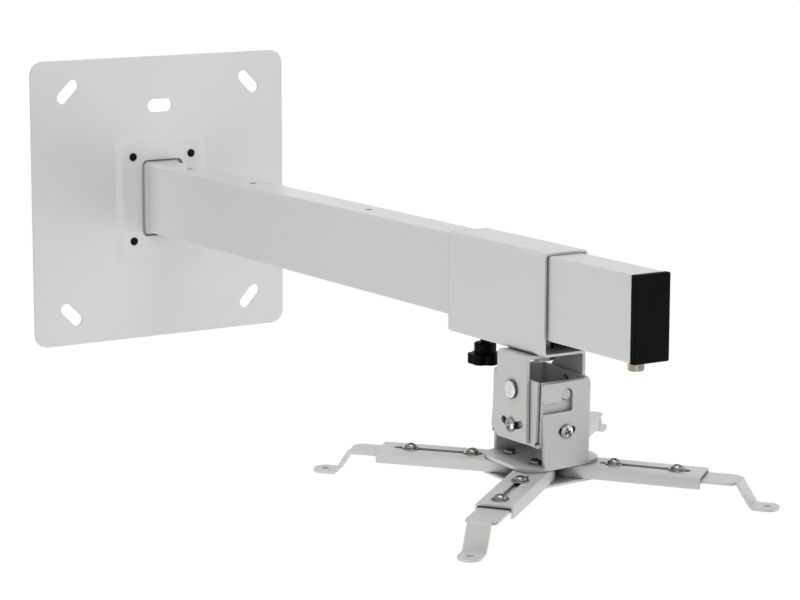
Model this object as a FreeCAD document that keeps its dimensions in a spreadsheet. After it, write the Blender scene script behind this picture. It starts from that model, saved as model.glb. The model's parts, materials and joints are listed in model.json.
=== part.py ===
import FreeCAD, Part
import math
import os
import re
import Sketcher

# Projector wall mount: a square wall plate carries a rectangular tube, a sleeve slides along the tube,
# and under the sleeve hangs a head that swivels, tilts and rolls, with four swinging, telescopic arms.
# The wall is the plane Y = 0 and the tube runs out along -Y. The origin is the middle of the plate's
# back, +Z is up. Lengths are in millimetres and angles in degrees.

SIZES = {
    "wall plate": {
        "plate_width": 250, "plate_height": 250, "plate_gauge": 2.5, "plate_corner": 12,
        "panel_width": 90, "panel_height": 112, "panel_rise": 3, "panel_bevel": 6, "panel_corner": 9,
        "window_width": 41, "window_height": 68, "window_corner": 5,
        "slot_spread_x": 180, "slot_spread_z": 196, "wall_slot_length": 25, "wall_slot_width": 11,
        "top_slot_height": 81.5, "top_slot_length": 25, "top_slot_width": 12,
    },
    "tube": {
        "tube_width": 30, "tube_height": 61.4, "tube_wall": 2, "tube_corner": 2, "tube_length": 703.6,
        "flange_gauge": 3, "flange_edge": 3, "weld_leg": 3,
        "flange_screw": 6, "flange_screw_head": 10, "flange_screw_spread_x": 58,
        "flange_screw_spread_z": 75, "flange_screw_proud": 0.8,
        "top_hole": 5.5, "first_hole_reach": 56, "second_hole_reach": 166, "third_hole_reach": 347,
        "cap_lip": 4.4, "cap_overhang": 0.3, "cap_corner": 1.2, "cap_edge": 0.8, "cap_plug_depth": 14,
        "cap_plug_wall": 2, "cap_clearance": 0.3,
        "stop_inset": 13, "stop_head": 11.8, "stop_head_height": 8.1, "stop_thread": 6, "stop_socket": 5,
    },
    "sleeve": {
        "sleeve_length": 120.7, "sleeve_wall": 1.5, "sleeve_corner": 3.5, "side_gap": 2.5, "top_gap": 0.6,
        "bottom_gap": 9.8, "sleeve_ahead": 28, "pivot_setback": 122.6,
        "knob_setback": 72, "knob_gap": 6.7, "knob_hub": 16.5, "knob_hub_height": 8.4,
        "knob_lobe_height": 7.5, "knob_lobe_circle": 13.6, "knob_lobe": 12.4, "knob_lobe_count": 6,
        "knob_lobe_angle": 27, "knob_thread": 8, "clamp_nut": 13, "clamp_nut_height": 6.5,
        "swivel_thread": 10, "swivel_head": 17, "swivel_head_height": 6, "swivel_nut": 16,
        "swivel_nut_height": 4.6, "face_gap": 0.3, "running_gap": 0.05,
    },
    "head": {
        "head_drop": 68.6, "head_gauge": 2.5, "block_gauge": 2, "clevis_gap": 0.9, "bracket_gap": 0.4,
        "bend": 3, "clevis_width": 52, "clevis_front": 17.3, "clevis_neck": 19, "clevis_back": 21.6,
        "clevis_back_low": 26, "clevis_step_top": 13, "clevis_step_bottom": 8.5, "clevis_low": 37.5,
        "clevis_corner_back": 18, "clevis_corner_rise": 7,
        "block_rise": 9.5, "block_low": 38.8, "block_depth": 56.8, "relief_hole": 2.8, "relief_rise": 3.3,
        "seam_width": 0.6,
        "tilt_pin": 8, "tilt_pin_head": 13.6, "tilt_pin_head_height": 3, "tilt_pin_edge": 0.5,
        "tilt_slot_radius": 26.3, "tilt_slot_width": 5.6, "tilt_slot_swing_angle": 24,
        "rivet": 11, "rivet_height": 1.8, "roll_pin": 9.2, "roll_pin_recess": 1.2,
        "roll_slot_radius": 27.1, "roll_slot_width": 5.6, "roll_slot_swing_angle": 10.3,
        "lock_thread": 5, "lock_head": 10.2, "lock_head_height": 2.9, "lock_tip": 3,
        "bracket_width_top": 41, "bracket_width_low": 39, "bracket_corner": 3.5,
        "hook_bottom": 12.4, "hook_top": 4.5, "hook_corner": 1.8,
        "hub_width": 69, "hub_corner": 14, "hub_drop": 51.9, "hub_lower_width": 69, "hub_lower_depth": 68,
        "hub_lower_gauge": 2, "tilt_rest_angle": 2.4, "roll_rest_angle": -1.8,
    },
    "arms": {
        "arm_pivot_x": 16, "arm_pivot_y": 16, "arm_width": 27.5, "arm_height": 9, "arm_gauge": 1.6,
        "arm_slot_start": 20.8, "arm_slot_travel": 15.5, "arm_slot_margin": 10.2, "arm_slot_width": 5.5,
        "arm_end_corner": 0.8,
        "arm_bush": 9.6, "arm_screw": 6, "arm_screw_head": 10, "arm_screw_head_height": 3.3, "arm_nut": 10,
        "arm_nut_height": 4,
        "strip_width": 23, "strip_gauge": 2, "strip_tail": 8, "strip_lead": 46.1, "screw_spacing": 46.7,
        "shoulder_width": 21.9, "shoulder_length": 5, "foot_width": 16.9, "foot_drop": 17.5, "foot_run": 11,
        "foot_length": 17.5, "foot_bend": 3, "heel_bend": 5, "foot_hole": 5.5, "foot_hole_inset": 8.7,
        "strip_thread": 5, "strip_flange": 13, "strip_flange_height": 1, "strip_head": 9.5,
        "strip_head_height": 3.9, "strip_nut": 8, "strip_nut_height": 3, "slide_gap": 1.2,
        "wall_left_angle": 131, "room_left_angle": 217.3, "room_right_angle": 307.7,
        "wall_right_angle": 38.3, "wall_left_slid": 5.2, "room_left_slid": 14.7, "room_right_slid": 8.2,
        "wall_right_slid": 7.7,
    },
}

# Each arm: its name, the side of the hub in X and Y on which it turns.
ARMS = {
    "wall_left": (-1, 1),
    "room_left": (-1, -1),
    "room_right": (1, -1),
    "wall_right": (1, 1),
}

doc = FreeCAD.newDocument("projector_wall_mount")
sheet = doc.addObject("Spreadsheet::Sheet", "Sizes")
row = 1
for group, sizes in SIZES.items():
    sheet.set("A%d" % row, group)
    row += 1
    for alias, size in sizes.items():
        sheet.set("A%d" % row, alias)
        sheet.set("B%d" % row, str(size))
        sheet.setAlias("B%d" % row, alias)
        row += 1
doc.recompute()

ALIASES = re.compile(r"(?<![\w.])(%s)(?!\w)" % "|".join(a for s in SIZES.values() for a in s))


def formula(text):
    """An expression on the sheet, from one written with the bare names of its cells."""
    return ALIASES.sub(r"Sizes.\1", str(text))


def number(text):
    """What an expression comes to now."""
    return float(sheet.evalExpression(formula(text)))


def bind(item, **expressions):
    for name, text in expressions.items():
        item.setExpression(name.replace("__", "."), formula(text))


def place(item, placement):
    item.setExpression("Placement", formula(placement))


def new_body(name, placement=None):
    body = doc.addObject("PartDesign::Body", name)
    body.Label = name
    if placement:
        place(body, placement)
    return body


def new_sketch(body, plane, offset="0"):
    """A sketch on one of the body's own planes, moved along that plane's normal."""
    sketch = body.newObject("Sketcher::SketchObject", "Sketch")
    support = [item for item in body.Origin.OriginFeatures if item.Role == plane + "_Plane"][0]
    sketch.AttachmentSupport = [(support, "")]
    sketch.MapMode = "FlatFace"
    bind(sketch, AttachmentOffset__Base__z=offset)
    return sketch


def measure(sketch, kind, *references, size):
    """A driving dimension of the sketch, bound to an expression."""
    index = sketch.addConstraint(Sketcher.Constraint(kind, *references, number(size)))
    sketch.setExpression("Constraints[%d]" % index, formula(size))


def pin_point(sketch, geometry, point, x, y):
    measure(sketch, "DistanceX", -1, 1, geometry, point, size=x)
    measure(sketch, "DistanceY", -1, 1, geometry, point, size=y)


def polygon(sketch, points):
    """A closed outline of straight edges through points given as pairs of expressions."""
    spots = [FreeCAD.Vector(number(x), number(y), 0) for x, y in points]
    first = sketch.GeometryCount
    count = len(points)
    for index in range(count):
        sketch.addGeometry(Part.LineSegment(spots[index], spots[(index + 1) % count]))
    for index in range(count):
        after = first + (index + 1) % count
        sketch.addConstraint(Sketcher.Constraint("Coincident", first + index, 2, after, 1))
    for index, (x, y) in enumerate(points):
        pin_point(sketch, first + index, 1, x, y)
    return sketch


def rectangle(sketch, left, right, low, high):
    return polygon(sketch, [(left, low), (right, low), (right, high), (left, high)])


def circle(sketch, x, y, diameter):
    centre = FreeCAD.Vector(number(x), number(y), 0)
    index = sketch.addGeometry(Part.Circle(centre, FreeCAD.Vector(0, 0, 1), number(diameter) / 2))
    pin_point(sketch, index, 3, x, y)
    measure(sketch, "Diameter", index, size=diameter)
    return sketch


def rounded_rectangle(sketch, left, right, low, high, radius):
    """A rectangle with tangent arcs at its four corners."""
    corners = [(right, low, -1, 1, -90), (right, high, -1, -1, 0),
               (left, high, 1, -1, 90), (left, low, 1, 1, 180)]
    size = number(radius)
    first = sketch.GeometryCount
    centres = []
    for x, y, inward_x, inward_y, start in corners:
        x = "(%s) + (%d) * (%s)" % (x, inward_x, radius)
        y = "(%s) + (%d) * (%s)" % (y, inward_y, radius)
        centres.append((x, y))
        round_corner = Part.Circle(FreeCAD.Vector(number(x), number(y), 0), FreeCAD.Vector(0, 0, 1), size)
        start = math.radians(start)
        sketch.addGeometry(Part.ArcOfCircle(round_corner, start, start + math.pi / 2))
    for index in range(4):
        here = sketch.Geometry[first + index].EndPoint
        there = sketch.Geometry[first + (index + 1) % 4].StartPoint
        sketch.addGeometry(Part.LineSegment(here, there))
    for index in range(4):
        arc, line, after = first + index, first + 4 + index, first + (index + 1) % 4
        sketch.addConstraint(Sketcher.Constraint("Tangent", arc, 2, line, 1))
        sketch.addConstraint(Sketcher.Constraint("Tangent", line, 2, after, 1))
        measure(sketch, "Radius", arc, size=radius)
        pin_point(sketch, arc, 3, *centres[index])
    return sketch


def slot(sketch, x, y, length, width, angle="0"):
    """A round-ended slot about a centre, its length along a line at an angle to the sketch's x."""
    reach = "((%s) - (%s)) / 2" % (length, width)
    ends = []
    for sign in (1, -1):
        along = "(%d) * %s" % (sign, reach)
        ends.append(("(%s) + %s * cos((%s) * 1deg)" % (x, along, angle),
                     "(%s) + %s * sin((%s) * 1deg)" % (y, along, angle)))
    first = sketch.GeometryCount
    for (end_x, end_y), start in zip(ends, (-90, 90)):
        start = math.radians(start + number(angle))
        centre = FreeCAD.Vector(number(end_x), number(end_y), 0)
        end = Part.Circle(centre, FreeCAD.Vector(0, 0, 1), number(width) / 2)
        sketch.addGeometry(Part.ArcOfCircle(end, start, start + math.pi))
    for index in range(2):
        here = sketch.Geometry[first + index].EndPoint
        there = sketch.Geometry[first + 1 - index].StartPoint
        sketch.addGeometry(Part.LineSegment(here, there))
    for index in range(2):
        arc, line, other = first + index, first + 2 + index, first + 1 - index
        sketch.addConstraint(Sketcher.Constraint("Tangent", arc, 2, line, 1))
        sketch.addConstraint(Sketcher.Constraint("Tangent", line, 2, other, 1))
        pin_point(sketch, arc, 3, *ends[index])
    measure(sketch, "Radius", first, size="(%s) / 2" % width)
    sketch.addConstraint(Sketcher.Constraint("Equal", first, first + 1))
    return sketch


def pad(body, sketch, length, both_ways=False, backward=False):
    feature = body.newObject("PartDesign::Pad", "Pad")
    feature.Profile = sketch
    feature.SideType = "Symmetric" if both_ways else "One side"
    feature.Reversed = backward
    bind(feature, Length=length)
    return feature


def pocket(body, sketch, depth=None, forward=False):
    """Cuts a sketch's outline away, against the sketch's normal, or right through both ways."""
    feature = body.newObject("PartDesign::Pocket", "Pocket")
    feature.Profile = sketch
    if depth:
        feature.Reversed = forward
        bind(feature, Length=depth)
    else:
        feature.Type = "ThroughAll"
        feature.SideType = "Symmetric"
    return feature


def soften(body, radius, keep, kind="Fillet"):
    """Rounds or chamfers the edges of the body's last shape that keep(edge) picks."""
    doc.recompute()
    base = body.Tip
    names = ["Edge%d" % (index + 1) for index, edge in enumerate(base.Shape.Edges) if keep(edge)]
    feature = body.newObject("PartDesign::" + kind, kind)
    feature.Base = (base, names)
    bind(feature, **{"Radius" if kind == "Fillet" else "Size": radius})
    return feature


def straight(edge, axis):
    """Whether an edge is a straight one along an axis, given as 0, 1 or 2."""
    if edge.Curve.TypeId != "Part::GeomLine":
        return False
    box = edge.BoundBox
    spans = [box.XLength, box.YLength, box.ZLength]
    return all(span < 0.01 for index, span in enumerate(spans) if index != axis)


def near(value, text):
    """Whether a coordinate is where an expression puts it."""
    return abs(value - number(text)) < 0.02


def discs(body, plane, centres, levels):
    """Coaxial rounds on every centre: each level is a diameter and its two heights off the plane."""
    for diameter, low, high in levels:
        sketch = new_sketch(body, plane, low)
        for x, y in centres:
            circle(sketch, x, y, diameter)
        pad(body, sketch, "(%s) - (%s)" % (high, low))


def hexagon(sketch, x, y, across):
    """A hexagon by its width across flats."""
    points = []
    for index in range(6):
        turn = "%d * 60deg + 30deg" % index
        points.append(("(%s) + (%s) / sqrt(3) * cos(%s)" % (x, across, turn),
                       "(%s) + (%s) / sqrt(3) * sin(%s)" % (y, across, turn)))
    return polygon(sketch, points)


# Wall plate

def wall_plate():
    body = new_body("wall_plate")
    outline = new_sketch(body, "XZ")
    rounded_rectangle(outline, "-plate_width / 2", "plate_width / 2", "-plate_height / 2",
                      "plate_height / 2", "plate_corner")
    pad(body, outline, "plate_gauge")

    # The middle is pressed forward, which leaves a recess behind it for the tube's flange.
    for kind, start in (("PartDesign::AdditiveLoft", "plate_gauge"), ("PartDesign::SubtractiveLoft", "0")):
        sections = []
        for height, inset in (("(%s)" % start, "0"), ("(%s) + panel_rise" % start, "panel_bevel")):
            section = new_sketch(body, "XZ", height)
            rounded_rectangle(section, "-panel_width / 2 + %s" % inset, "panel_width / 2 - %s" % inset,
                              "-panel_height / 2 + %s" % inset, "panel_height / 2 - %s" % inset,
                              "panel_corner - %s / 2" % inset)
            sections.append(section)
        loft = body.newObject(kind, "Loft")
        loft.Profile = sections[0]
        loft.Sections = sections[1:]
        loft.Ruled = True

    openings = new_sketch(body, "XZ")
    rounded_rectangle(openings, "-window_width / 2", "window_width / 2", "-window_height / 2",
                      "window_height / 2", "window_corner")
    for side, level, angle in ((-1, 1, 45), (1, 1, 135), (-1, -1, 135), (1, -1, 45)):
        slot(openings, "%d * slot_spread_x / 2" % side, "%d * slot_spread_z / 2" % level,
             "wall_slot_length", "wall_slot_width", angle)
    slot(openings, "0", "top_slot_height", "top_slot_length", "top_slot_width")
    for x, z in flange_screw_places():
        circle(openings, x, z, "flange_screw + 2 * running_gap")
    pocket(body, openings)
    return body


def flange_screw_places():
    return [("%d * flange_screw_spread_x / 2" % side, "%d * flange_screw_spread_z / 2" % level)
            for side in (-1, 1) for level in (-1, 1)]


# Tube

def support_tube():
    body = new_body("support_tube")
    section = new_sketch(body, "XZ", "flange_gauge")
    tube_outline(section, "0", "tube_corner")
    tube_outline(section, "tube_wall", "tube_corner - tube_wall + 0.5")
    pad(body, section, "tube_length - flange_gauge")
    top = new_sketch(body, "XY", "tube_height / 2")
    for reach in ("first_hole_reach", "second_hole_reach", "third_hole_reach"):
        circle(top, "0", "-" + reach, "top_hole")
    pocket(body, top, "2 * tube_wall")
    under = new_sketch(body, "XY", "-tube_height / 2 + 2 * tube_wall")
    circle(under, "0", "stop_inset - tube_length", "stop_thread + 2 * running_gap")
    pocket(body, under, "3 * tube_wall")
    return body


def tube_outline(sketch, inset, radius):
    rounded_rectangle(sketch, "-tube_width / 2 + %s" % inset, "tube_width / 2 - (%s)" % inset,
                      "-tube_height / 2 + %s" % inset, "tube_height / 2 - (%s)" % inset, radius)


def tube_flange():
    """The plate that closes the tube's end, welded round it and held in the recess by four screws."""
    body = new_body("tube_flange")
    outline = new_sketch(body, "XZ")
    inset = "panel_bevel + flange_edge"
    rounded_rectangle(outline, "-panel_width / 2 + %s" % inset, "panel_width / 2 - (%s)" % inset,
                      "-panel_height / 2 + %s" % inset, "panel_height / 2 - (%s)" % inset, "panel_corner / 2")
    pad(body, outline, "flange_gauge")
    sections = []
    for height, leg in (("flange_gauge", "weld_leg"), ("flange_gauge + weld_leg", "weld_leg / 8")):
        section = new_sketch(body, "XZ", height)
        tube_outline(section, "-(%s)" % leg, "tube_corner + %s" % leg)
        sections.append(section)
    weld = body.newObject("PartDesign::AdditiveLoft", "Weld")
    weld.Profile = sections[0]
    weld.Sections = sections[1:]
    weld.Ruled = True
    hole = new_sketch(body, "XZ", "flange_gauge + weld_leg")
    tube_outline(hole, "0", "tube_corner")
    pocket(body, hole, "weld_leg")
    screws = new_sketch(body, "XZ")
    for x, z in flange_screw_places():
        circle(screws, x, z, "flange_screw + 2 * running_gap")
    pocket(body, screws)
    heads = new_sketch(body, "XZ")
    for x, z in flange_screw_places():
        circle(heads, x, z, "flange_screw_head + 2 * running_gap")
    pocket(body, heads, "flange_gauge / 2 + running_gap", forward=True)
    return body


def flange_screws():
    body = new_body("flange_screws")
    head = "flange_gauge / 2"
    discs(body, "XZ", flange_screw_places(), [
        ("flange_screw_head", "0", head),
        ("flange_screw", head, "plate_gauge + panel_rise + flange_screw_proud"),
    ])
    proud = "-(plate_gauge + panel_rise + flange_screw_proud)"
    soften(body, "flange_screw / 10", lambda edge: near(edge.BoundBox.YMin, proud)
           and near(edge.BoundBox.YMax, proud), "Chamfer")
    return body


def tube_end_cap():
    body = new_body("tube_end_cap")
    face = new_sketch(body, "XZ", "tube_length")
    tube_outline(face, "-cap_overhang", "cap_corner")
    pad(body, face, "cap_lip")
    plug = new_sketch(body, "XZ", "tube_length - cap_plug_depth")
    tube_outline(plug, "tube_wall + cap_clearance", "cap_corner")
    tube_outline(plug, "tube_wall + cap_clearance + cap_plug_wall", "cap_corner / 2")
    pad(body, plug, "cap_plug_depth")
    front = "-(tube_length + cap_lip)"
    soften(body, "cap_edge", lambda edge: near(edge.BoundBox.YMin, front) and near(edge.BoundBox.YMax, front))
    room = new_sketch(body, "XY", "-tube_height / 2 + tube_wall + cap_clearance + 2 * cap_plug_wall")
    circle(room, "0", "stop_inset - tube_length", "stop_thread + 4 * cap_clearance")
    pocket(body, room, "3 * cap_plug_wall")
    return body


def stop_bolt():
    """The screw under the tube's end that keeps the sleeve on it."""
    spot = "vector(0; stop_inset - tube_length; -tube_height / 2)"
    body = new_body("stop_bolt", "placement(%s; rotation(0; 0; 0))" % spot)
    discs(body, "XY", [("0", "0")], [
        ("stop_head", "-stop_head_height", "0"),
        ("stop_thread", "0", "tube_wall + cap_clearance + cap_plug_wall"),
    ])
    socket = new_sketch(body, "XY", "-stop_head_height")
    hexagon(socket, "0", "0", "stop_socket")
    pocket(body, socket, "stop_head_height / 2", forward=True)
    soften(body, "stop_head / 16", lambda edge: near(edge.BoundBox.ZMax, "-stop_head_height")
           and near(edge.BoundBox.XLength, "stop_head"))
    return body


# Sleeve and clamp

PIVOT_REACH = "(tube_length - pivot_setback)"
SLEEVE = "placement(vector(0; -%s; 0); rotation(0; 0; 0))" % PIVOT_REACH
SLEEVE_TOP = "tube_height / 2 + top_gap + sleeve_wall"
SLEEVE_LOW = "-(tube_height / 2 + bottom_gap + sleeve_wall)"
SLEEVE_SIDE = "tube_width / 2 + side_gap + sleeve_wall"


def slide_sleeve():
    body = new_body("slide_sleeve", SLEEVE)
    section = new_sketch(body, "XZ", "sleeve_ahead - sleeve_length")
    rounded_rectangle(section, "-(%s)" % SLEEVE_SIDE, SLEEVE_SIDE, SLEEVE_LOW, SLEEVE_TOP, "sleeve_corner")
    rounded_rectangle(section, "-(%s) + sleeve_wall" % SLEEVE_SIDE, "%s - sleeve_wall" % SLEEVE_SIDE,
                      "%s + sleeve_wall" % SLEEVE_LOW, "%s - sleeve_wall" % SLEEVE_TOP,
                      "sleeve_corner - sleeve_wall")
    pad(body, section, "sleeve_length")
    floor = new_sketch(body, "XY", "%s + 2 * sleeve_wall" % SLEEVE_LOW)
    circle(floor, "0", "0", "swivel_thread + 2 * running_gap")
    circle(floor, "0", "knob_setback", "knob_thread + 2 * running_gap")
    pocket(body, floor, "3 * sleeve_wall")
    return body


def clamp_nut():
    """The nut welded to the sleeve's floor, in which the clamp knob's stud turns."""
    body = new_body("clamp_nut", SLEEVE)
    seat = new_sketch(body, "XY", "%s + sleeve_wall" % SLEEVE_LOW)
    hexagon(seat, "0", "knob_setback", "clamp_nut")
    circle(seat, "0", "knob_setback", "knob_thread + 2 * running_gap")
    pad(body, seat, "clamp_nut_height")
    return body


KNOB = "placement(vector(0; knob_setback - %s; %s); rotation(0; 0; 0))" % (PIVOT_REACH, SLEEVE_LOW)
KNOB_BORE = "(knob_gap + knob_hub_height)"
STUD_TIP = "(bottom_gap + sleeve_wall - face_gap)"


def clamp_knob():
    """The lobed hand knob: a narrow hub above and a wide lobed grip below."""
    body = new_body("clamp_knob", KNOB)
    hub_top = "-knob_gap"
    foot = "-(%s + knob_lobe_height)" % KNOB_BORE
    discs(body, "XY", [("0", "0")], [("knob_hub", foot, hub_top)])
    lobes = new_sketch(body, "XY", foot)
    circle(lobes, "knob_lobe_circle / 2 * cos(knob_lobe_angle * 1deg)",
           "knob_lobe_circle / 2 * sin(knob_lobe_angle * 1deg)", "knob_lobe")
    lobe = pad(body, lobes, "knob_lobe_height")
    pattern = body.newObject("PartDesign::PolarPattern", "Lobes")
    pattern.Originals = [lobe]
    pattern.Axis = (lobes, ["N_Axis"])
    pattern.Angle = 360
    bind(pattern, Occurrences="knob_lobe_count")
    body.Tip = pattern
    soften(body, "knob_lobe / 10", lambda edge: edge.BoundBox.ZLength < 0.01
           and (near(edge.BoundBox.ZMin, foot) or near(edge.BoundBox.ZMin, hub_top)))
    bore = new_sketch(body, "XY", hub_top)
    circle(bore, "0", "0", "knob_thread")
    pocket(body, bore, "knob_hub_height")
    return body


def clamp_stud():
    body = new_body("clamp_stud", KNOB)
    discs(body, "XY", [("0", "0")], [
        ("knob_thread", "-" + KNOB_BORE, STUD_TIP),
    ])
    soften(body, "knob_thread / 10", lambda edge: near(edge.BoundBox.ZMin, STUD_TIP), "Chamfer")
    return body


# Head. Its three turning axes meet at one point under the sleeve.

HEAD = "placement(vector(0; -%s; -head_drop); rotation(0; 0; 0))" % PIVOT_REACH
TILT = HEAD + " * placement(vector(0; 0; 0); rotation(vector(1; 0; 0); tilt_rest_angle))"
ROLL = TILT + " * placement(vector(0; 0; 0); rotation(vector(0; 1; 0); roll_rest_angle))"
CLEVIS_TOP = "(head_drop - tube_height / 2 - bottom_gap - sleeve_wall - face_gap)"
CLEVIS_INSIDE = "(clevis_width / 2 - head_gauge)"
BLOCK_SIDE = "(clevis_width / 2 - head_gauge - clevis_gap)"
BLOCK_END = "(block_depth / 2)"
BRACKET_INSIDE = "(block_depth / 2 + bracket_gap)"
BRACKET_END = "(block_depth / 2 + bracket_gap + head_gauge)"
SEAM = "(-block_gauge - seam_width)"


def swivel_bolt():
    body = new_body("swivel_bolt", HEAD)
    floor = "%s + face_gap + sleeve_wall" % CLEVIS_TOP
    discs(body, "XY", [("0", "0")], [
        ("swivel_head", floor, "%s + swivel_head_height" % floor),
        ("swivel_thread", "%s - head_gauge - swivel_nut_height" % CLEVIS_TOP, floor),
    ])
    top = "%s + swivel_head_height" % floor
    soften(body, "swivel_head / 14", lambda edge: near(edge.BoundBox.ZMin, top))
    return body


def swivel_nut():
    body = new_body("swivel_nut", HEAD)
    seat = new_sketch(body, "XY", "%s - head_gauge" % CLEVIS_TOP)
    hexagon(seat, "0", "0", "swivel_nut")
    circle(seat, "0", "0", "swivel_thread")
    pad(body, seat, "swivel_nut_height", backward=True)
    return body


def arc_slot(body, plane, across, span, radius, width, swing):
    """Cuts a slot that follows the head's centre through both ears of a bracket."""
    sketch = new_sketch(body, plane)
    rectangle(sketch, "-(%s)" % span, span, "-(%s) - %s / 2" % (radius, width),
              "-(%s) + %s / 2" % (radius, width))
    groove = body.newObject("PartDesign::Groove", "Groove")
    groove.Profile = sketch
    groove.ReferenceAxis = (sketch, ["H_Axis"])
    groove.Midplane = True
    bind(groove, Angle="2 * (%s)" % swing)
    ends = new_sketch(body, across)
    for sign in (1, -1):
        circle(ends, "%d * (%s) * sin(%s * 1deg)" % (sign, radius, swing),
               "-(%s) * cos(%s * 1deg)" % (radius, swing), width)
    pocket(body, ends)


def tilt_clevis():
    """The upper bracket: a sheet folded down on both sides of the block."""
    body = new_body("tilt_clevis", HEAD)
    side = new_sketch(body, "YZ")
    polygon(side, [
        ("-clevis_front", CLEVIS_TOP),
        ("-clevis_front", "-clevis_low"),
        ("clevis_corner_back", "-clevis_low"),
        ("clevis_back_low", "-clevis_low + clevis_corner_rise"),
        ("clevis_back", "clevis_step_bottom"),
        ("clevis_neck", "clevis_step_top"),
        ("clevis_neck", CLEVIS_TOP),
    ])
    pad(body, side, "clevis_width", both_ways=True)
    inside = new_sketch(body, "XZ")
    underside = "%s - head_gauge" % CLEVIS_TOP
    rectangle(inside, "-" + CLEVIS_INSIDE, CLEVIS_INSIDE, "-clevis_low - bend", underside)
    pocket(body, inside)
    soften(body, "bend", lambda edge: straight(edge, 1) and near(edge.BoundBox.ZMax, CLEVIS_TOP))
    soften(body, "bend - head_gauge + 0.5", lambda edge: straight(edge, 1)
           and near(edge.BoundBox.ZMax, underside))
    soften(body, "bend / 2", lambda edge: straight(edge, 0)
           and edge.BoundBox.ZMax < number("-clevis_low / 2"))
    top = new_sketch(body, "XY", "%s + head_gauge" % CLEVIS_TOP)
    circle(top, "0", "0", "swivel_thread")
    pocket(body, top, "3 * head_gauge")
    holes = new_sketch(body, "YZ")
    circle(holes, "0", "0", "tilt_pin")
    pocket(body, holes)
    arc_slot(body, "XZ", "YZ", "clevis_width", "tilt_slot_radius", "tilt_slot_width",
             "tilt_slot_swing_angle")
    return body


def tilt_block():
    """The folded box between the two brackets: open corners in front and narrow seams behind."""
    body = new_body("tilt_block", TILT)
    box = new_sketch(body, "XY", "-block_low")
    rectangle(box, "-" + BLOCK_SIDE, BLOCK_SIDE, "-" + BLOCK_END, BLOCK_END)
    pad(body, box, "block_low + block_rise")
    soften(body, "block_gauge", lambda edge: near(edge.BoundBox.ZMax, "-block_low"))
    inside = new_sketch(body, "XY", "block_rise")
    rectangle(inside, "-%s + block_gauge" % BLOCK_SIDE, "%s - block_gauge" % BLOCK_SIDE,
              "-%s + block_gauge" % BLOCK_END, "%s - block_gauge" % BLOCK_END)
    pocket(body, inside, "block_low + block_rise - block_gauge")
    seams = new_sketch(body, "XY", "block_rise")
    for side in (-1, 1):
        for end in (-1, 1):
            rim = "bend" if end < 0 else "-block_gauge"
            x_from, x_to = ["%d * (%s + %s)" % (side, BLOCK_SIDE, more) for more in (SEAM, "bend")]
            y_from, y_to = ["%d * (%s + (%s))" % (end, BLOCK_END, more) for more in (SEAM, rim)]
            rectangle(seams, x_from, x_to, y_from, y_to)
    pocket(body, seams, "block_low + block_rise - relief_rise")
    reliefs = new_sketch(body, "YZ")
    for end in (-1, 1):
        circle(reliefs, "%d * (%s - block_gauge - seam_width / 2)" % (end, BLOCK_END),
               "-block_low + relief_rise", "relief_hole")
    pocket(body, reliefs)
    side_holes = new_sketch(body, "YZ")
    circle(side_holes, "0", "0", "tilt_pin + 2 * running_gap")
    circle(side_holes, "0", "-tilt_slot_radius", "lock_thread")
    pocket(body, side_holes)
    end_holes = new_sketch(body, "XZ")
    circle(end_holes, "0", "0", "roll_pin")
    circle(end_holes, "0", "-roll_slot_radius", "lock_thread")
    pocket(body, end_holes)
    return body


def tilt_pins():
    """The two round rivets on which the block tilts."""
    body = new_body("tilt_pins", HEAD)
    inner = "(%s - block_gauge)" % BLOCK_SIDE
    outer = "(clevis_width / 2)"
    levels = [
        ("tilt_pin_head", outer, "%s + tilt_pin_head_height" % outer),
        ("tilt_pin", inner, outer),
        ("rivet", "%s - face_gap - rivet_height" % inner, "%s - face_gap" % inner),
        ("tilt_pin", "%s - face_gap" % inner, inner),
    ]
    mirrored = [(size, "-(%s)" % high, "-(%s)" % low) for size, low, high in levels]
    discs(body, "YZ", [("0", "0")], levels + mirrored)
    rim = "%s + tilt_pin_head_height" % outer
    soften(body, "tilt_pin_edge", lambda edge: near(edge.BoundBox.XMin, rim)
           or near(edge.BoundBox.XMax, "-(%s)" % rim))
    return body


def lock_screws(name, plane, radius, face, wall):
    """Two pan-head screws that clamp an arc slot: one through each ear, threaded in the block."""
    body = new_body(name, TILT)
    tip = "(%s - lock_tip)" % wall
    levels = [
        ("lock_head", face, "%s + lock_head_height" % face),
        ("lock_thread", tip, face),
    ]
    mirrored = [(size, "-(%s)" % high, "-(%s)" % low) for size, low, high in levels]
    discs(body, plane, [("0", "-(%s)" % radius)], levels + mirrored)
    rim = number("%s + lock_head_height" % face)
    axis = "XMax" if plane == "YZ" else "YMax"
    other = "XMin" if plane == "YZ" else "YMin"
    soften(body, "lock_head_height / 2", lambda edge: abs(getattr(edge.BoundBox, other) - rim) < 0.02
           or abs(getattr(edge.BoundBox, axis) + rim) < 0.02)
    return body


def roll_pins():
    """The two pins fixed in the block's ends, on which the hub bracket hooks and rolls."""
    body = new_body("roll_pins", TILT)
    inner = "(%s - block_gauge)" % BLOCK_END
    levels = [
        ("roll_pin", inner, "(%s - roll_pin_recess)" % BRACKET_END),
        ("rivet", "%s - rivet_height" % inner, inner),
    ]
    mirrored = [(size, "-(%s)" % high, "-(%s)" % low) for size, low, high in levels]
    discs(body, "XZ", [("0", "0")], levels + mirrored)
    return body


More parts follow.
